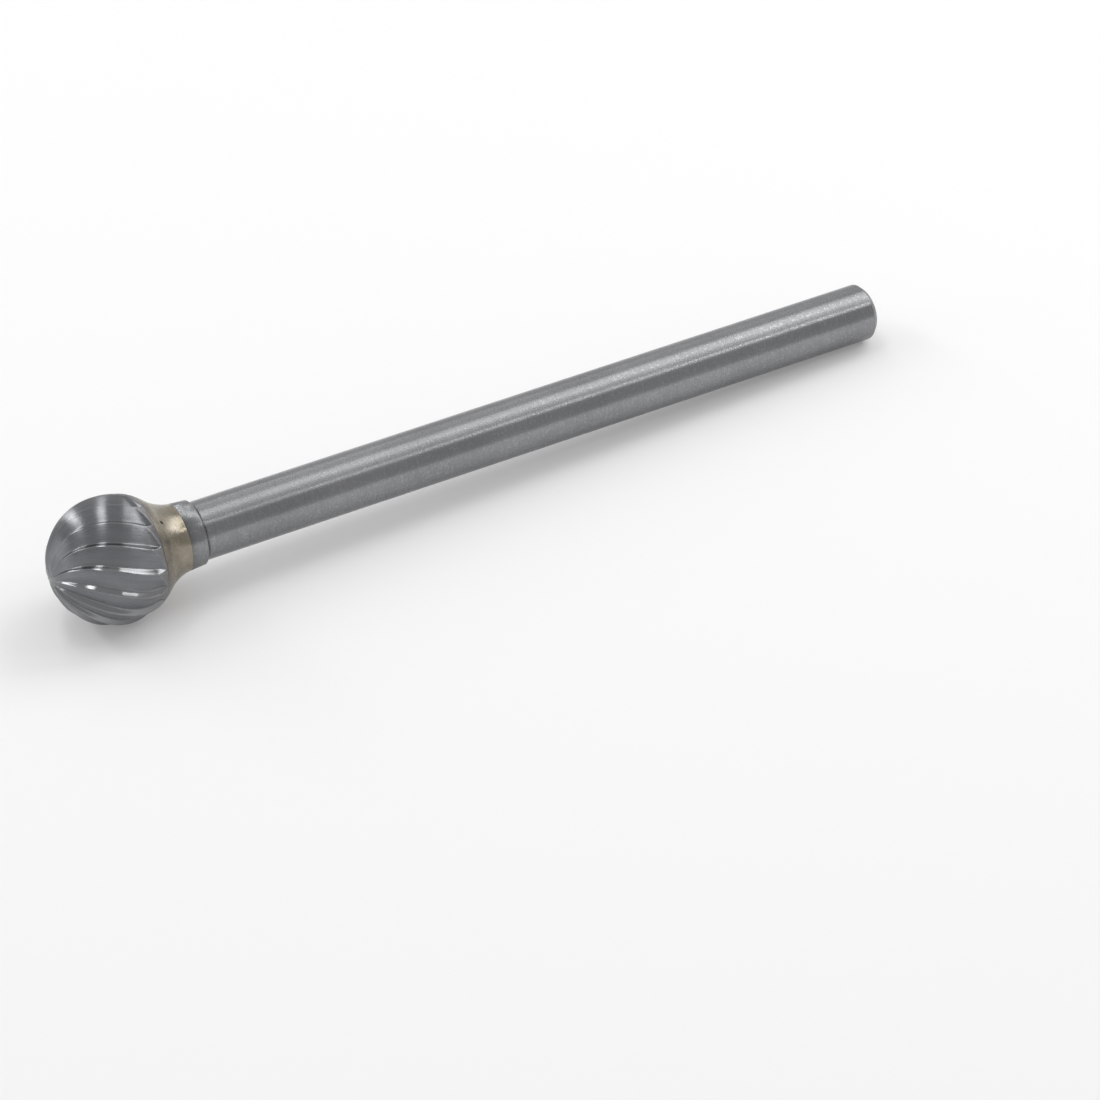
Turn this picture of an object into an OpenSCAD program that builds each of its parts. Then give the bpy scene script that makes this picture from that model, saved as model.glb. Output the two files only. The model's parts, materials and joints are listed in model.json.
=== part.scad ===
// Carbide burr with a ball head on a plain round shank
// A fluted ball, the brazed neck behind it and a ground steel shank, joined for good.
// Lengths are in millimetres. The burr lies at rest on the plane Z = 0, on two
// neighbouring cutting edges of the ball and on the rear of the shank, so its axis
// dips slightly toward the shank end. The ball is toward -X and the shank toward +X,
// and the origin is the middle of the footprint. "Behind the centre" below means
// measured from the ball's centre along the burr's own axis, toward the shank end.

/* [Part shown] */
// Sub-part to draw

/* [Ball head] */
// Diameter over the cutting edges
head_d = 6.5; // [5.8:0.1:7.2]
// Distance of the head's flat back behind the centre
head_back = 1.78; // [1.74:0.02:2]
// Number of teeth round the ball
tooth_count = 15; // [11:1:17]
// Depth of the gullets below the cutting edges
tooth_depth = 0.24; // [0.12:0.02:0.3]
// Turn of a tooth, in degrees, over one ball radius along the axis
tooth_turn = 25; // [0:1:40]
// Share of the tooth pitch taken by the cutting face
face_share = 0.14; // [0.1:0.01:0.18]

/* [Brazed neck] */
// Smallest diameter of the hollow neck
neck_d = 3.42; // [3.3:0.02:3.8]
// Radius of the hollow curve that leads from the ball into the neck
neck_curve_r = 2.4; // [1.8:0.1:3]
// Distance of the steel's front face behind the centre
neck_back = 3.55; // [3.3:0.05:3.7]
// Diameter of the small pore in the braze
pore_d = 0.2; // [0.1:0.02:0.3]
// Distance of the pore behind the centre
pore_back = 2.36; // [2.2:0.02:3]
// Turn of the pore round the axis, in degrees from the underside
pore_turn = 207.6; // [0:0.2:360]

/* [Steel shank] */
// Diameter of the ground shank
shank_d = 3; // [2.9:0.05:3.2]
// Distance of the shank end behind the centre
shank_end = 43.5; // [30:0.1:60]
// Chamfer at the shank end
end_chamfer = 0.3; // [0.1:0.05:0.6]
// Diameter at the rear of the collar
collar_d = 3.34; // [3.26:0.02:3.44]
// Distance of the collar's rear corner behind the centre
collar_back = 4.4; // [4.2:0.1:6]
// Length of the bevel that steps down to the shank
collar_bevel = 0.16; // [0.1:0.02:0.6]

/* [Hidden] */

// Roundness of the turned braze and shank
turned_steps = 120;
// Straight steps along the outline of the braze
neck_steps = 10;
// Rings of points from the nose to the widest part of the head
front_rings = 27;
// Rings of points from there to the head's back, closer together where the gullets run out
rear_rings = 18;
// Gullet depth grows from the nose in step with the spacing of the teeth, by this factor
nose_growth = 1.3;
// Angles from the nose at which the gullets begin. One in three reaches the middle.
gullet_starts = [2, 12, 7];
// Angle over which a gullet opens out
gullet_opening = 9;
// Places behind the centre between which the gullets run out
runout_from = 1.12;
runout_to = 1.72;

// Section of one tooth, from its cutting edge back to the foot of the next cutting face.
// Each point is a share of the tooth pitch and a share of the tooth depth. The back falls
// fast enough to stay clear of a plane that touches two neighbouring edges.
tooth_section = [
    [0, 0],
    [0.18, 0.2],
    [0.36, 0.41],
    [0.52, 0.62],
    [0.66, 0.81],
    [0.79, 0.98],
    [1 - face_share, 0.82]
];

head_r = head_d / 2;
neck_r = neck_d / 2;
shank_r = shank_d / 2;
collar_r = collar_d / 2;
tooth_pitch = 360 / tooth_count;
section_steps = len(tooth_section);
ring_points = tooth_count * section_steps;
head_rings = front_rings + rear_rings;
back_angle = acos(-head_back / head_r);

// The neck curve touches the ball, and runs level with the axis at its far end.
neck_level = sqrt(pow(head_r + neck_curve_r, 2) - pow(neck_r + neck_curve_r, 2));
neck_start = neck_level * head_r / (head_r + neck_curve_r);

// The ball rests on two cutting edges, so its centre sits a little under one radius up.
edge_slant = atan(tooth_turn * PI / 180);
rest_r = head_r * cos(tooth_pitch / 2 * cos(edge_slant));
rest_tilt = asin((rest_r - shank_r) / (shank_end - end_chamfer));
// Two teeth straddle the underside where the tilted ball touches down.
first_tooth = tooth_pitch / 2 - tooth_turn * sin(rest_tilt);
ball_x = (head_r - shank_end * cos(rest_tilt) - (shank_r - end_chamfer) * sin(rest_tilt)) / 2;

carbide_grey = [0.42, 0.43, 0.45];
braze_gold = [0.74, 0.63, 0.42];
steel_grey = [0.66, 0.67, 0.69];

// Eases from 0 at a to 1 at b
function ease(a, b, x) =
    let (t = min(1, max(0, (x - a) / (b - a))))
    t * t * (3 - 2 * t);

// Radius of the whole ball on a flat section behind the centre
function ball_section(along) = sqrt(head_r * head_r - along * along);

// Radius of the blank, without teeth: the ball, then the neck curve
function blank_r(along) =
    along < neck_start
        ? ball_section(along)
        : neck_r + neck_curve_r - sqrt(pow(neck_curve_r, 2) - pow(neck_level - along, 2));

// Depth of one tooth's gullet at an angle from the nose
function gullet_depth(tooth, angle) =
    let (start = gullet_starts[tooth % len(gullet_starts)])
    tooth_depth
        * min(1, nose_growth * sin(angle))
        * ease(start, start + gullet_opening, angle);

// Distance from the axis and place along it, on a cone round the front half of the ball
function front_point(angle, depth) =
    [(head_r - depth) * sin(angle), (depth - head_r) * cos(angle)];

// The same on a flat section behind the centre. The grinding wheel leaves the ball on an
// arc there, so the shallow parts of a gullet end before the deep ones.
function rear_point(along, depth) =
    let (
        past = max(0, along - runout_from) / (runout_to - runout_from),
        left = max(0, depth - tooth_depth * past * past),
        slope = head_r / ball_section(along)
    )
    [ball_section(along) - left * slope, along];

// Angle from the nose at which a ring of points stands
function ring_angle(ring) =
    ring < front_rings
        ? 90 * (ring + 1) / front_rings
        : 90 + (back_angle - 90) * (ring + 1 - front_rings) / rear_rings;

// Point of the toothed surface, numbered round the axis, at an angle from the nose
function surface_point(angle, number) =
    let (
        along = -head_r * cos(angle),
        tooth = floor(number / section_steps),
        section = tooth_section[number % section_steps],
        depth = section[1] * (angle < 90 ? gullet_depth(tooth, angle) : tooth_depth),
        place = angle < 90 ? front_point(angle, depth) : rear_point(along, depth),
        turn = first_tooth + tooth_pitch * (tooth + section[0]) + tooth_turn * along / head_r
    )
    [place[0] * cos(turn), place[0] * sin(turn), place[1]];

function head_ring(ring) =
    [for (number = [0 : ring_points - 1]) surface_point(ring_angle(ring), number)];

// Outline of the braze from the head's back to the steel, as distance from the axis and
// place along it
function neck_outline() =
    [
        for (i = [0 : neck_steps])
            let (along = head_back + (neck_back - head_back) * i / neck_steps)
            [blank_r(along), along]
    ];

// Closed skin through rings of points, with a middle point at the front and at the back
module ringed_solid(front, rings, back) {
    count = len(rings[0]);
    last = len(rings) - 1;
    back_index = 1 + len(rings) * count;
    points = concat([front], [for (ring = rings) each ring], [back]);
    front_faces = [
        for (i = [0 : count - 1])
            [0, 1 + i, 1 + (i + 1) % count]
    ];
    side_faces = [
        for (ring = [0 : last - 1])
            for (i = [0 : count - 1])
                let (
                    here = 1 + ring * count + i,
                    beside = 1 + ring * count + (i + 1) % count
                )
                each [[here, here + count, beside + count], [here, beside + count, beside]]
    ];
    back_faces = [
        for (i = [0 : count - 1])
            [back_index, 1 + last * count + (i + 1) % count, 1 + last * count + i]
    ];
    polyhedron(points = points, faces = concat(front_faces, side_faces, back_faces));
}

// Lays a piece drawn along +Z, with the ball's centre at the origin, in its resting place
module at_rest() {
    translate([ball_x, 0, rest_r])
        rotate([0, 90 + rest_tilt, 0])
            children();
}

// Ball with helical saw-shaped teeth that meet at the nose
module carbide_head() {
    color(carbide_grey)
        at_rest()
            ringed_solid(
                [0, 0, -head_r],
                [for (ring = [0 : head_rings - 1]) head_ring(ring)],
                [0, 0, head_back]
            );
}

// Hollow-curved neck of braze with one small pore
module braze_joint() {
    color(braze_gold)
        at_rest()
            difference() {
                rotate_extrude($fn = turned_steps)
                    polygon(concat([[0, head_back]], neck_outline(), [[0, neck_back]]));
                rotate([0, 0, pore_turn])
                    translate([blank_r(pore_back), 0, pore_back])
                        sphere(d = pore_d, $fn = 24);
            }
}

// Ground shank with a short collar at the neck and a chamfered end
module steel_shank() {
    color(steel_grey)
        at_rest()
            rotate_extrude($fn = turned_steps)
                polygon([
                    [0, neck_back],
                    [blank_r(neck_back), neck_back],
                    [collar_r, collar_back],
                    [shank_r, collar_back + collar_bevel],
                    [shank_r, shank_end - end_chamfer],
                    [shank_r - end_chamfer, shank_end],
                    [0, shank_end]
                ]);
}

carbide_head();
braze_joint();
steel_shank();
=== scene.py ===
import json
import math

import bmesh
import bpy
from mathutils import Matrix, Vector


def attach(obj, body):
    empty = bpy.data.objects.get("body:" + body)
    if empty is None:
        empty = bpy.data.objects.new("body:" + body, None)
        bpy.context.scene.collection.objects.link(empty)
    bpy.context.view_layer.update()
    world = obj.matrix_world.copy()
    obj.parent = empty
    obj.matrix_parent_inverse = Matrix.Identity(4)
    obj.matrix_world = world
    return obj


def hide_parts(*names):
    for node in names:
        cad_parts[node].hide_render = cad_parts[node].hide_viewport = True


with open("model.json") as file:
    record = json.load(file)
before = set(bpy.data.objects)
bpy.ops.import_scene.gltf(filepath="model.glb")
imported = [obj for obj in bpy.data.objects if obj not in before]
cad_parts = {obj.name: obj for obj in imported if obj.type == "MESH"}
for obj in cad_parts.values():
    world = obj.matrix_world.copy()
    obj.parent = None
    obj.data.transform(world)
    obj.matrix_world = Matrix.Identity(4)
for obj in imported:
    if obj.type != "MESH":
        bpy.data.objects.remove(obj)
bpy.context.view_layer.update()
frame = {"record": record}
print("frame loaded")

mm = 0.001
shankGrip = frame["record"]["mounts"][0]

# toothed ball, in millimetres and degrees
# "behind" is measured from its centre toward the shank end
ball = {
    "radius": 3.25,  # over the cutting edges
    "backEnd": 1.78,  # where the carbide ends
    "teeth": 15,
    "toothDepth": 0.24,
    "turnPerRadius": 25,
    "gulletAt": 0.8,  # share of the pitch where the back of a tooth reaches the gullet
    "backCurve": 1.1,
    "faceRise": 5.7,  # depth shares per pitch up the cutting face
    "gulletRound": 0.4,
    "edgeRound": 0.24,
    "noseGrowth": 1.3,  # how fast the gullets deepen away from the nose
    "gulletStarts": [2, 12, 7],  # angle from the nose, one in three reaches the middle
    "gulletOpening": 9,
    "runoutFrom": 1.12,  # the gullets run out between these places behind the centre
    "runoutTo": 1.72,
    "rings": 160,
    "backPoints": 14,
    "facePoints": 13,
    "faceStart": 0.78,
    "backCrowding": 2,  # above 1 the points crowd toward the cutting edge
    "faceCrowding": 1.6,
    "edgeWidth": 0.05,  # width of the worn line along a cutting edge
    "wearFrom": 12,  # angles from the nose between which that wear sets in
    "wearTo": 50,
    "stripStep": 1.37,  # in pitches, so that each tooth has grinding marks of its own
    "cutFrom": 0.8,  # shares of the pitch between which the finish of the cutting face sets in
    "cutTo": 0.86,
    "cutFade": 0.1,  # the rest in shares of the tooth depth, where a gullet ends
    "rimWidth": 0.1,
    "rimOnset": 0.02,
    "blankFrom": -0.03,
    "blankTo": 0.06,
}

# hollow-curved neck of braze
neck = {
    "radius": 1.71,
    "curveRadius": 2.4,
    "backEnd": 3.55,
    "rings": 56,
    "steps": 360,
    "poreTurn": 207.6,  # from the underside
    "poreBehind": 2.36,
    "poreRadius": 0.09,
    "poreDepth": 0.1,
    "poreNarrow": 1.25,  # how much narrower it is around the neck than along it
    "poreWall": 4,  # the higher, the steeper its wall
}

# ground shank with its collar
shank = {
    "radius": shankGrip["dims"]["r_mm"],
    "end": 43.5,
    "chamfer": 0.3,
    "collarRadius": 1.67,
    "collarBack": 4.4,
    "collarBevel": 0.16,
    "steps": 168,
    "cornerRound": 0.035,
    "endRound": 0.12,
    "cornerSteps": 5,
    "ringGap": 1.2,  # most that two rings of points stand apart
}


def burrMatrix():
    # burr's own frame: Z runs back along the axis, X points down, the ball's centre is the origin
    back = Vector(shankGrip["axis"]).normalized()
    side = Vector((0, 1, 0))
    down = side.cross(back)
    gripEnd = (shank["end"] - shank["chamfer"]) * mm
    centre = Vector(shankGrip["pos_m"]) - back * gripEnd
    turned = Matrix((down, side, back)).transposed().to_4x4()
    return Matrix.Translation(centre) @ turned


toRow = burrMatrix()
toothPitch = 360 / ball["teeth"]
restTilt = math.asin(-Vector(shankGrip["axis"]).normalized().z)
firstTooth = toothPitch / 2 - ball["turnPerRadius"] * math.sin(restTilt)
# the hollow curve touches the ball at neckStart and runs level with the axis at neckLevel
curveReach = ball["radius"] + neck["curveRadius"]
neckLevel = math.sqrt(curveReach ** 2 - (neck["radius"] + neck["curveRadius"]) ** 2)
neckStart = neckLevel * ball["radius"] / curveReach


def ease(start, stop, value):
    t = min(1, max(0, (value - start) / (stop - start)))
    return t * t * (3 - 2 * t)


def ballSection(behind):
    return math.sqrt(max(0, ball["radius"] ** 2 - behind ** 2))


def blankRadius(behind):
    # the ball, then the hollow curve of the neck
    if behind < neckStart:
        return ballSection(behind)
    drop = math.sqrt(neck["curveRadius"] ** 2 - (neckLevel - behind) ** 2)
    return neck["radius"] + neck["curveRadius"] - drop


def toothShares():
    # places across one tooth, close together at the cutting edge and in the gullet
    back = [
        ball["faceStart"] * (i / ball["backPoints"]) ** ball["backCrowding"]
        for i in range(ball["backPoints"])
    ]
    left = 1 - ball["faceStart"]
    face = [
        1 - left * (1 - i / ball["facePoints"]) ** ball["faceCrowding"]
        for i in range(ball["facePoints"])
    ]
    return back + face


def backFall(share):
    # how far the back of a tooth has fallen, as a share of its depth
    return (share / ball["gulletAt"]) ** ball["backCurve"]


def toothDepth(share):
    # falling back of the tooth and rising cutting face, with a round gullet and a blunted edge
    falling = backFall(share)
    rising = (1 - share) * ball["faceRise"]
    low = max(0, 1 - abs(falling - rising) / ball["gulletRound"])
    depth = min(falling, rising) - low * low * ball["gulletRound"] / 4
    # depth of the surface as far away on the other side of the nearer cutting edge
    beyond = share * ball["faceRise"] if share < 0.5 else backFall(1 - share)
    high = max(0, 1 - (depth + beyond) / ball["edgeRound"])
    return depth + high * high * ball["edgeRound"] / 4


def gulletDepth(tooth, angle):
    start = ball["gulletStarts"][tooth % len(ball["gulletStarts"])]
    grown = min(1, ball["noseGrowth"] * math.sin(math.radians(angle)))
    return ball["toothDepth"] * grown * ease(start, start + ball["gulletOpening"], angle)


def wheelRise(behind):
    # the grinding wheel leaves the ball on an arc, so shallow cuts end before deep ones
    past = max(0, behind - ball["runoutFrom"]) / (ball["runoutTo"] - ball["runoutFrom"])
    return past * past


def toothedPoint(angle, behind, tooth, share):
    # point of the toothed surface and how deep it lies under the blank
    if angle < 90:
        depth = toothDepth(share) * gulletDepth(tooth, angle)
        out = (ball["radius"] - depth) * math.sin(math.radians(angle))
        along = (depth - ball["radius"]) * math.cos(math.radians(angle))
    else:
        depth = ball["toothDepth"] * max(0, toothDepth(share) - wheelRise(behind))
        out = ballSection(behind) - depth * ball["radius"] / ballSection(behind)
        along = behind
    twist = ball["turnPerRadius"] * behind / ball["radius"]
    turn = math.radians(firstTooth + toothPitch * (tooth + share) + twist)
    return Vector((out * math.cos(turn), out * math.sin(turn), along)), depth


def makePiece(name, mesh, material, node):
    piece = bpy.data.objects.new(name, mesh)
    bpy.context.scene.collection.objects.link(piece)
    piece.data.materials.append(material)
    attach(piece, "root")
    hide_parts(node)
    return piece


def closedSkin(name, rings, front, back, uvAt, values):
    # skin through rings of points, closed by a fan at each end. uvAt gives the millimetres along
    # and across the grinding marks at a point, or at the next point of the ring where last is
    # true, and values are the numbers kept at the points
    bm = bmesh.new()
    uvLayer = bm.loops.layers.uv.new("grind")
    layers = {key: bm.verts.layers.float.new(key) for key in values}
    own = bm.verts.layers.float_vector.new("own")  # place on the burr itself, in millimetres

    def addVert(point):
        vert = bm.verts.new(toRow @ (point * mm))
        vert[own] = point
        return vert

    rows = [[addVert(point) for point in ring] for ring in rings]
    for key, table in values.items():
        for row, numbers in zip(rows, table):
            for vert, number in zip(row, numbers):
                vert[layers[key]] = number
    frontVert = addVert(front)
    backVert = addVert(back)
    count = len(rings[0])

    def addFace(verts, places):
        face = bm.faces.new(verts)
        face.smooth = True
        for loop, place in zip(face.loops, places):
            loop[uvLayer].uv = uvAt(*place)

    end = len(rows) - 1
    for i in range(count):
        j = (i + 1) % count
        addFace((frontVert, rows[0][j], rows[0][i]), ((0, i, True), (0, i, True), (0, i, False)))
        addFace(
            (backVert, rows[end][i], rows[end][j]),
            ((end, i, True), (end, i, False), (end, i, True)),
        )
        for ring in range(end):
            addFace(
                (rows[ring][i], rows[ring][j], rows[ring + 1][j], rows[ring + 1][i]),
                ((ring, i, False), (ring, i, True), (ring + 1, i, True), (ring + 1, i, False)),
            )
    bm.normal_update()
    mesh = bpy.data.meshes.new(name)
    bm.to_mesh(mesh)
    bm.free()
    return mesh


def toothUv(places, shares):
    # u follows the tooth, v goes across it, and each tooth has its own strip
    def uvAt(ring, number, last):
        tooth, step = divmod(number, len(shares))
        share = shares[step]
        if last:
            share = shares[step + 1] if step + 1 < len(shares) else 1
        across = math.radians(toothPitch) * ball["radius"]
        return places[ring], (share + ball["stripStep"] * tooth) * across
    return uvAt


headKeys = ("edge", "gullet", "face", "rim", "blank")  # what the head keeps at its points


def edgeWear(share):
    # 1 on a cutting edge, falling to 0 beside it
    across = math.radians(toothPitch) * ball["radius"]
    away = min(share, 1 - share) * across / ball["edgeWidth"]
    return math.exp(-away * away)


def headMarks(angle, behind, share, depth):
    # how far a point belongs to a worn edge, a gullet, a cutting face, a gullet's rim or the blank
    risen = wheelRise(behind)
    over = risen - toothDepth(share)  # above 0 where the wheel has left the ball
    return {
        "edge": edgeWear(share) * ease(ball["wearFrom"], ball["wearTo"], angle),
        "gullet": depth / ball["toothDepth"],
        "face": ease(ball["cutFrom"], ball["cutTo"], share) * ease(0, ball["cutFade"], -over),
        "rim": math.exp(-(over / ball["rimWidth"]) ** 2) * ease(0, ball["rimOnset"], risen),
        "blank": ease(ball["blankFrom"], ball["blankTo"], over) if risen > 0 else 0,
    }


def headSkin():
    shares = toothShares()
    lastAngle = math.degrees(math.acos(-ball["backEnd"] / ball["radius"]))
    rings = []
    places = []
    kept = {key: [] for key in headKeys}
    for ring in range(ball["rings"]):
        angle = lastAngle * (ring + 1) / ball["rings"]
        behind = -ball["radius"] * math.cos(math.radians(angle))
        points = []
        marks = []
        for tooth in range(ball["teeth"]):
            for share in shares:
                point, depth = toothedPoint(angle, behind, tooth, share)
                points.append(point)
                marks.append(headMarks(angle, behind, share, depth))
        rings.append(points)
        places.append(math.radians(angle) * ball["radius"])
        for key, table in kept.items():
            table.append([mark[key] for mark in marks])
    front = Vector((0, 0, -ball["radius"]))
    back = Vector((0, 0, ball["backEnd"]))
    return closedSkin("headSkin", rings, front, back, toothUv(places, shares), kept)


def poreDent(turn, behind):
    # one pore left by the brazing
    across = math.radians((turn - neck["poreTurn"] + 180) % 360 - 180) * blankRadius(behind)
    away = math.hypot(across * neck["poreNarrow"], behind - neck["poreBehind"]) / neck["poreRadius"]
    return neck["poreDepth"] * math.exp(-away ** neck["poreWall"])


def neckSkin():
    # the turned braze, with the pore that stands open in it
    steps = neck["steps"]
    rings = []
    tintShares = []
    places = []
    for ring in range(neck["rings"]):
        behind = ball["backEnd"] + (neck["backEnd"] - ball["backEnd"]) * ring / (neck["rings"] - 1)
        points = []
        shadeShares = []
        for step in range(steps):
            dent = poreDent(360 * step / steps, behind)
            out = blankRadius(behind) - dent
            turn = 2 * math.pi * step / steps
            points.append(Vector((out * math.cos(turn), out * math.sin(turn), behind)))
            # the pore's depth share, by which painted shade darkens it
            shadeShares.append(dent / neck["poreDepth"])
        rings.append(points)
        tintShares.append(shadeShares)
        places.append(behind)

    def uvAt(ring, number, last):
        around = (number + (1 if last else 0)) / steps * 2 * math.pi * neck["radius"]
        return around, places[ring]

    front = Vector((0, 0, ball["backEnd"]))
    back = Vector((0, 0, neck["backEnd"]))
    return closedSkin("neckSkin", rings, front, back, uvAt, {"pore": tintShares})


def roundCorner(before, corner, after, radius, steps):
    # arc of points that replaces a corner of an outline
    toBefore = (before - corner).normalized()
    toAfter = (after - corner).normalized()
    half = toBefore.angle(toAfter) / 2
    reach = radius / math.tan(half)
    centre = corner + (toBefore + toAfter).normalized() * (radius / math.sin(half))
    start = corner + toBefore * reach - centre
    stop = corner + toAfter * reach - centre
    full = start.angle(stop)
    points = []
    for i in range(steps + 1):
        t = i / steps
        fromStart = start * (math.sin((1 - t) * full) / math.sin(full))
        fromStop = stop * (math.sin(t * full) / math.sin(full))
        points.append(centre + fromStart + fromStop)
    return points


def shankOutline():
    # (radius, place behind the centre) from the neck to the free end
    end = shank["end"]
    chamfer = shank["chamfer"]
    bevelEnd = shank["collarBack"] + shank["collarBevel"]
    corners = [
        Vector((blankRadius(neck["backEnd"]), neck["backEnd"])),
        Vector((shank["collarRadius"], shank["collarBack"])),
        Vector((shank["radius"], bevelEnd)),
        Vector((shank["radius"], end - chamfer)),
        Vector((shank["radius"] - chamfer, end)),
        Vector((0, end)),
    ]
    rounds = [shank["cornerRound"], shank["cornerRound"], shank["endRound"], shank["endRound"]]
    outline = [corners[0]]
    for i, radius in enumerate(rounds, start=1):
        outline += roundCorner(*corners[i - 1:i + 2], radius, shank["cornerSteps"])
    return outline


def shankSkin():
    outline = shankOutline()
    # long stretches get rings in between, so that the shading stays even
    places = [outline[0]]
    for point in outline[1:]:
        gap = (point - places[-1]).length
        steps = max(1, math.ceil(gap / shank["ringGap"]))
        start = places[-1]
        places += [start.lerp(point, (i + 1) / steps) for i in range(steps)]
    turns = [2 * math.pi * i / shank["steps"] for i in range(shank["steps"])]
    rings = []
    for place in places:
        rings.append([Vector((place.x * math.cos(t), place.x * math.sin(t), place.y)) for t in turns])

    def uvAt(ring, number, last):
        around = (number + (1 if last else 0)) / shank["steps"] * 2 * math.pi * shank["radius"]
        return around, places[ring].y

    front = Vector((0, 0, neck["backEnd"]))
    back = Vector((0, 0, shank["end"]))
    return closedSkin("shankSkin", rings, front, back, uvAt, {})


def addNode(tree, kind, inputs=None, **settings):
    node = tree.nodes.new(kind)
    for key, value in settings.items():
        setattr(node, key, value)
    for key, value in (inputs or {}).items():
        if isinstance(value, bpy.types.NodeSocket):
            tree.links.new(value, node.inputs[key])
        else:
            node.inputs[key].default_value = value
    return node


def grain(tree, source, grains, detail, harsh):
    # noise with so many grains per unit each way, drawn out where these numbers differ
    placed = addNode(tree, "ShaderNodeMapping", {"Vector": source, "Scale": grains})
    made = addNode(tree, "ShaderNodeTexNoise", {
        "Vector": placed.outputs["Vector"],
        "Scale": 1.0,
        "Detail": detail,
        "Roughness": harsh,
    })
    return made.outputs["Fac"]


def spread(tree, value, low, high, toLow, toHigh):
    # value between low and high is drawn out between the other two
    made = addNode(tree, "ShaderNodeMapRange", {
        "Value": value,
        "From Min": low,
        "From Max": high,
        "To Min": toLow,
        "To Max": toHigh,
    })
    return made.outputs["Result"]


def between(tree, share, first, second):
    # the first number turns into the second as share goes from 0 to 1
    return spread(tree, share, 0.0, 1.0, first, second)


def calc(tree, operation, first, second=0.0):
    return addNode(tree, "ShaderNodeMath", {0: first, 1: second}, operation=operation).outputs[0]


mixSockets = {"share": 0, "first": 6, "second": 7, "result": 2}  # those of a node that mixes colours


def tint(tree, share, first, second):
    # the first colour turns into the second as share goes from 0 to 1
    inputs = {
        mixSockets["share"]: share,
        mixSockets["first"]: first,
        mixSockets["second"]: second,
    }
    return addNode(tree, "ShaderNodeMix", inputs, data_type="RGBA").outputs[mixSockets["result"]]


def roughen(tree, shader, height, markHeight):
    # marks so many millimetres high where height is 1
    bump = addNode(tree, "ShaderNodeBump", {"Height": height, "Distance": markHeight * mm})
    tree.links.new(bump.outputs["Normal"], shader.inputs["Normal"])


def groundMetal(name, anisotropy):
    # shader shared by the ground surfaces: reflections spread across the grinding marks
    material = bpy.data.materials.new(name)
    material.use_nodes = True
    tree = material.node_tree
    shader = tree.nodes["Principled BSDF"]
    shader.inputs["Metallic"].default_value = 1.0
    shader.inputs["Anisotropic"].default_value = anisotropy
    shader.inputs["Anisotropic Rotation"].default_value = 0.25  # a quarter turn, across the marks
    marks = addNode(tree, "ShaderNodeTangent", direction_type="UV_MAP", uv_map="grind")
    tree.links.new(marks.outputs["Tangent"], shader.inputs["Tangent"])
    return material, tree, shader


# in these looks lengths are in millimetres, a noise is its grains per millimetre each way, its
# detail and its harshness, and four numbers are a span of it and the span it is drawn out to
carbideLook = {
    "dark": (0.16, 0.167, 0.18, 1),
    "light": (0.245, 0.25, 0.26, 1),
    # lighter tone of worn cutting edges, also used for the chipped gullet rims with their painted
    # glint
    "edge": (0.3, 0.3, 0.3, 1),
    "gullet": (0.23, 0.233, 0.24, 1),
    "cut": (0.25, 0.254, 0.26, 1),
    "blank": (0.25, 0.235, 0.24, 1),
    "blankShare": 0.7,
    "fine": ((0.88, 14.4, 1.6), 5.0, 0.7),
    "broad": ((0.275, 2.42, 1.1), 3.0, 0.6),
    "cloud": ((0.9, 0.9, 0.9), 4.0, 0.55),
    "chips": ((9.0, 9.0, 9.0), 2.0, 0.6),
    "streaks": (0.3, 0.7, 0.0, 0.5),  # for the fine and for the broad noise
    "tintShares": (0.35, 0.75, 0.1, 0.9),
    "wear": (0.3, 0.6, 0.2, 0.9),
    "chipsAndGlint": (0.45, 0.62, 0.0, 1.0),
    "anisotropy": 0.95,
    "roughness": (0.25, 0.75, 0.22, 0.38),
    "polish": 0.15,  # roughness of the cutting faces and worn edges
    "rough": 0.4,  # and of the skin behind the teeth
    "markHeight": 0.0034,
    "cutMarks": 0.25,  # height of the marks on the cutting faces, in mark heights
    "pitHeight": 2.5,  # and of the pits behind the teeth
}


def carbideFinish():
    look = carbideLook
    material, tree, shader = groundMetal("groundCarbide", look["anisotropy"])
    place = addNode(tree, "ShaderNodeUVMap", uv_map="grind").outputs["UV"]
    kept = {}
    for key in headKeys:
        kept[key] = addNode(tree, "ShaderNodeAttribute", attribute_name=key).outputs["Fac"]
    fine = grain(tree, place, *look["fine"])
    broad = grain(tree, place, *look["broad"])
    cloud = grain(tree, place, *look["cloud"])
    chips = grain(tree, place, *look["chips"])
    broadStreaks = spread(tree, broad, *look["streaks"])
    fineStreaks = spread(tree, fine, *look["streaks"])
    base = tint(tree, calc(tree, "ADD", broadStreaks, fineStreaks), look["dark"], look["light"])
    stained = calc(tree, "MULTIPLY", kept["gullet"], spread(tree, cloud, *look["tintShares"]))
    base = tint(tree, stained, base, look["gullet"])
    base = tint(tree, kept["face"], base, look["cut"])
    base = tint(tree, calc(tree, "MULTIPLY", kept["blank"], look["blankShare"]), base, look["blank"])
    worn = calc(tree, "MULTIPLY", kept["edge"], spread(tree, fine, *look["wear"]))
    # the gullets' rims are painted lighter in broken dashes: chipping, and a painted glint along the
    # rim
    rimChipsAndGlint = calc(tree, "MULTIPLY", kept["rim"], spread(tree, chips, *look["chipsAndGlint"]))
    base = tint(tree, calc(tree, "MAXIMUM", worn, rimChipsAndGlint), base, look["edge"])
    tree.links.new(base, shader.inputs["Base Color"])
    dull = spread(tree, fine, *look["roughness"])
    dull = between(tree, calc(tree, "MAXIMUM", kept["face"], worn), dull, look["polish"])
    dull = between(tree, kept["blank"], dull, look["rough"])
    tree.links.new(dull, shader.inputs["Roughness"])
    # the grinding marks are weak on the cutting faces, and the skin behind the teeth is pitted
    marks = calc(tree, "MULTIPLY", fine, between(tree, kept["face"], 1.0, look["cutMarks"]))
    pits = calc(tree, "MULTIPLY", calc(tree, "MAXIMUM", kept["blank"], kept["rim"]), chips)
    height = calc(tree, "ADD", marks, calc(tree, "MULTIPLY", pits, look["pitHeight"]))
    roughen(tree, shader, height, look["markHeight"])
    return material


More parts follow.
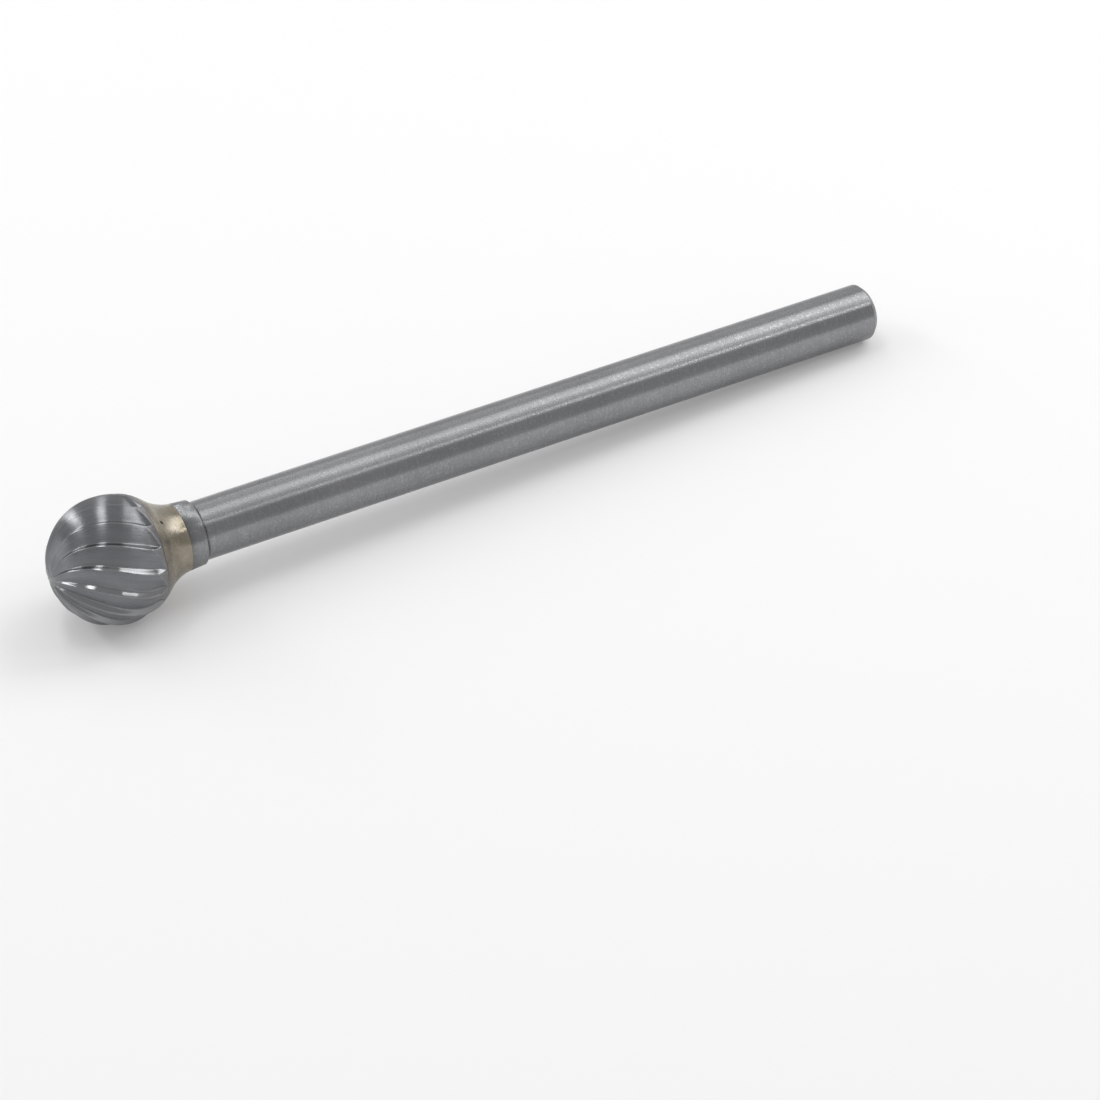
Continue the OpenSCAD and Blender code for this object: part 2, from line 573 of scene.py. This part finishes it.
brazeLook = {
    "gold": (0.255, 0.225, 0.173, 1),
    "pale": (0.37, 0.336, 0.28, 1),
    "brown": (0.16, 0.148, 0.13, 1),
    # painted shade in the pore
    "poreShade": (0.03, 0.026, 0.022, 1),
    "rings": ((0.7, 0.7, 9.0), 4.0, 0.65),
    "pits": ((5.2, 5.2, 5.2), 3.0, 0.6),
    "cloud": ((0.9, 0.9, 1.4), 4.0, 0.6),
    "paling": (0.35, 0.7, 0.0, 1.0),
    "browning": (0.3, 0.6, 1.0, 0.5),
    "brownReach": 0.5,  # from the carbide
    "anisotropy": 0.92,
    "roughness": (0.3, 0.7, 0.2, 0.3),
    "markHeight": 0.005,
    "pitHeight": 0.8,  # in mark heights
}


def brazeFinish():
    look = brazeLook
    material, tree, shader = groundMetal("turnedBraze", look["anisotropy"])
    place = addNode(tree, "ShaderNodeAttribute", attribute_name="own").outputs["Vector"]
    pore = addNode(tree, "ShaderNodeAttribute", attribute_name="pore").outputs["Fac"]
    axis = addNode(tree, "ShaderNodeSeparateXYZ", {"Vector": place}).outputs["Z"]
    rings = grain(tree, place, *look["rings"])
    pits = grain(tree, place, *look["pits"])
    cloud = grain(tree, place, *look["cloud"])
    base = tint(tree, spread(tree, cloud, *look["paling"]), look["gold"], look["pale"])
    # the braze darkens where it meets the carbide
    near = spread(tree, axis, ball["backEnd"], ball["backEnd"] + look["brownReach"], 1.0, 0.0)
    dark = calc(tree, "MULTIPLY", near, spread(tree, cloud, *look["browning"]))
    base = tint(tree, dark, base, look["brown"])
    # painted shade, near black, deep in the pore
    base = tint(tree, pore, base, look["poreShade"])
    tree.links.new(base, shader.inputs["Base Color"])
    tree.links.new(spread(tree, pits, *look["roughness"]), shader.inputs["Roughness"])
    height = calc(tree, "ADD", calc(tree, "MULTIPLY", pits, look["pitHeight"]), rings)
    roughen(tree, shader, height, look["markHeight"])
    return material


steelLook = {
    "dark": (0.225, 0.23, 0.238, 1),
    "light": (0.355, 0.36, 0.368, 1),
    # painted shade in the bevel behind the collar
    "step": (0.05, 0.05, 0.052, 1),
    "rings": ((0.5, 0.5, 11.0), 5.0, 0.7),
    "specks": ((7.0, 7.0, 9.0), 2.0, 0.6),
    "cloud": ((0.35, 0.35, 0.16), 4.0, 0.6),
    "clouding": (0.3, 0.7, 0.0, 0.4),
    "ringing": (0.3, 0.7, 0.0, 0.3),
    "sparkling": (0.5, 0.66, 0.0, 1.0),
    "sparkle": 0.25,
    "paintedShade": (0.4, 0.55, 0.35, 1.0),
    "shadeAt": 0.7,  # share of the collar's bevel
    "shadeReach": 0.1,  # either way
    "anisotropy": 0.95,
    "dull": 0.33,  # roughness between the sparkles
    "bright": 0.24,  # and on them
    "markHeight": 0.0026,
    "speckHeight": 0.5,  # in mark heights
}


def steelFinish():
    look = steelLook
    material, tree, shader = groundMetal("groundSteel", look["anisotropy"])
    place = addNode(tree, "ShaderNodeAttribute", attribute_name="own").outputs["Vector"]
    axis = addNode(tree, "ShaderNodeSeparateXYZ", {"Vector": place}).outputs["Z"]
    rings = grain(tree, place, *look["rings"])
    specks = grain(tree, place, *look["specks"])
    cloud = grain(tree, place, *look["cloud"])
    clouded = spread(tree, cloud, *look["clouding"])
    mottled = calc(tree, "ADD", clouded, spread(tree, rings, *look["ringing"]))
    # painted glints: the brightest specks are coloured lighter as sparkle, and they are also smoother
    sparkle = spread(tree, specks, *look["sparkling"])
    mottled = calc(tree, "ADD", mottled, calc(tree, "MULTIPLY", sparkle, look["sparkle"]))
    base = tint(tree, mottled, look["dark"], look["light"])
    # painted shade along the bevel behind the collar, broken into specks
    middle = shank["collarBack"] + shank["collarBevel"] * look["shadeAt"]
    away = calc(tree, "ABSOLUTE", calc(tree, "SUBTRACT", axis, middle))
    near = spread(tree, away, 0.0, look["shadeReach"], 1.0, 0.0)
    paintedShade = calc(tree, "MULTIPLY", near, spread(tree, specks, *look["paintedShade"]))
    base = tint(tree, paintedShade, base, look["step"])
    tree.links.new(base, shader.inputs["Base Color"])
    tree.links.new(between(tree, sparkle, look["dull"], look["bright"]), shader.inputs["Roughness"])
    height = calc(tree, "ADD", rings, calc(tree, "MULTIPLY", specks, look["speckHeight"]))
    roughen(tree, shader, height, look["markHeight"])
    return material


makePiece("headSkin", headSkin(), carbideFinish(), "carbide_head")
print("head done")
makePiece("neckSkin", neckSkin(), brazeFinish(), "braze_joint")
print("neck done")
makePiece("shankSkin", shankSkin(), steelFinish(), "steel_shank")
print("shank done")

# pale floor, in metres
floor = {
    "size": 3.0,
    "colour": (0.8, 0.8, 0.8, 1),
    "speck": (0.78, 0.78, 0.78, 1),
    "paper": ((400.0, 400.0, 400.0), 3.0, 0.6),  # grains per metre
    "specks": (0.3, 0.7, 0.0, 1.0),
    "seen": (0.76, 0.76, 0.76, 1),  # as the camera and the burr see it
    "glow": 0.15,  # part of its whiteness that doesn't come from the lamps
}


def floorFinish():
    material = bpy.data.materials.new("paleFloor")
    material.use_nodes = True
    tree = material.node_tree
    tree.nodes.clear()
    place = addNode(tree, "ShaderNodeTexCoord").outputs["Object"]
    specks = spread(tree, grain(tree, place, *floor["paper"]), *floor["specks"])
    shade = tint(tree, specks, floor["colour"], floor["speck"])
    plain = addNode(tree, "ShaderNodeBsdfDiffuse", {"Color": shade})
    seen = addNode(tree, "ShaderNodeBsdfDiffuse", {"Color": floor["seen"]})
    white = addNode(tree, "ShaderNodeEmission", {"Color": (1, 1, 1, 1), "Strength": floor["glow"]})
    both = addNode(tree, "ShaderNodeAddShader", {0: seen.outputs[0], 1: white.outputs[0]})
    rays = addNode(tree, "ShaderNodeLightPath").outputs
    shows = calc(tree, "MAXIMUM", rays["Is Camera Ray"], rays["Is Glossy Ray"])
    shows = calc(tree, "MAXIMUM", shows, rays["Is Transmission Ray"])
    mixed = addNode(tree, "ShaderNodeMixShader", {0: shows, 1: plain.outputs[0], 2: both.outputs[0]})
    out = addNode(tree, "ShaderNodeOutputMaterial")
    tree.links.new(mixed.outputs[0], out.inputs["Surface"])
    return material


def makeFloor():
    bm = bmesh.new()
    half = floor["size"] / 2
    corners = ((-half, -half), (half, -half), (half, half), (-half, half))
    bm.faces.new([bm.verts.new((x, y, 0)) for x, y in corners])
    mesh = bpy.data.meshes.new("floor")
    bm.to_mesh(mesh)
    bm.free()
    piece = bpy.data.objects.new("floor", mesh)
    bpy.context.scene.collection.objects.link(piece)
    piece.data.materials.append(floorFinish())


makeFloor()
print("floor done")

# camera in millimetres and degrees, as the picture was taken
view = {
    "place": (-70.44, -147.64, 116.97),
    "aim": (-1.23, -9.8, 2.0),
    "roll": -4.27,
    "lens": 129.0,
    "sensor": 36.0,
    "clipStart": 5.0,
}


def makeCamera():
    data = bpy.data.cameras.new("camera")
    data.lens = view["lens"]
    data.sensor_width = view["sensor"]
    data.clip_start = view["clipStart"] * mm
    camera = bpy.data.objects.new("camera", data)
    bpy.context.scene.collection.objects.link(camera)
    place = Vector(view["place"]) * mm
    ahead = (Vector(view["aim"]) * mm - place).normalized()
    level = ahead.cross(Vector((0, 0, 1))).normalized()
    above = level.cross(ahead)
    roll = math.radians(view["roll"])
    right = level * math.cos(roll) + above * math.sin(roll)
    up = right.cross(ahead)
    turned = Matrix((right, up, -ahead)).transposed().to_4x4()
    camera.matrix_world = Matrix.Translation(place) @ turned
    bpy.context.scene.camera = camera


makeCamera()
print("camera done")

# soft boxes, in degrees as seen from the burr: "up" from the line to the camera, "toNose" along the
# burr toward its nose; glow 1 is white
softBoxes = {
    "middle": {"up": 57, "toNose": 0, "high": 22, "wide": 11, "glow": 3.0},
    "middleTall": {"up": 80, "toNose": -2, "high": 54, "wide": 9, "glow": 2.0},
    "noseSide": {"up": 86, "toNose": 33, "high": 50, "wide": 8, "glow": 4.8},
    "noseLow": {"up": 52, "toNose": 66, "high": 22, "wide": 24, "glow": 1.2},
    "shankSide": {"up": 80, "toNose": -53, "high": 26, "wide": 42, "glow": 2.3},
    "lineMiddle": {"up": 64, "toNose": -53, "high": 6, "wide": 34, "glow": 2.6},
    "lineLow": {"up": 30, "toNose": -57, "high": 6, "wide": 22, "glow": 4.8},
}
boxDistance = 260 * mm


def studioFrame():
    # along the burr toward the nose, up across it, and toward the camera
    toCamera = -(Vector(view["aim"]) - Vector(view["place"])).normalized()
    toNose = -Vector(shankGrip["axis"]).normalized()
    toNose = (toNose - toCamera * toNose.dot(toCamera)).normalized()
    return toNose, toNose.cross(toCamera), toCamera


def makeSoftBox(name, box):
    toNose, up, toCamera = studioFrame()
    rise = math.radians(box["up"])
    swing = math.radians(box["toNose"])
    lifted = toCamera * math.cos(rise) + up * math.sin(rise)
    away = lifted * math.cos(swing) + toNose * math.sin(swing)
    across = toNose * math.cos(swing) - lifted * math.sin(swing)
    data = bpy.data.lights.new(name, "AREA")
    data.shape = "RECTANGLE"
    data.size = 2 * boxDistance * math.tan(math.radians(box["wide"] / 2))
    data.size_y = 2 * boxDistance * math.tan(math.radians(box["high"] / 2))
    data.energy = box["glow"] * math.pi * data.size * data.size_y
    lamp = bpy.data.objects.new(name, data)
    bpy.context.scene.collection.objects.link(lamp)
    turned = Matrix((across, away.cross(across), away)).transposed().to_4x4()
    lamp.matrix_world = Matrix.Translation(away * boxDistance) @ turned


for name, box in softBoxes.items():
    makeSoftBox(name, box)
print("lamps done")

# even grey surroundings, whiter at the far side
room = {
    "grey": 0.52,
    "white": 0.68,
    "whiteToward": (0.35, 0.85, 0.25),
    "whiteFrom": -0.1,
    "whiteTo": 0.8,
}


def makeWorld():
    world = bpy.data.worlds.new("studio")
    bpy.context.scene.world = world
    world.use_nodes = True
    tree = world.node_tree
    shader = tree.nodes["Background"]
    way = addNode(tree, "ShaderNodeTexCoord").outputs["Generated"]
    toward = Vector(room["whiteToward"]).normalized()
    turned = addNode(tree, "ShaderNodeVectorMath", {0: way, 1: toward}, operation="DOT_PRODUCT")
    facing = turned.outputs["Value"]
    grey = spread(tree, facing, room["whiteFrom"], room["whiteTo"], room["grey"], room["white"])
    tree.links.new(grey, shader.inputs["Color"])


makeWorld()
bpy.context.scene.view_settings.view_transform = "Standard"
print("room done")
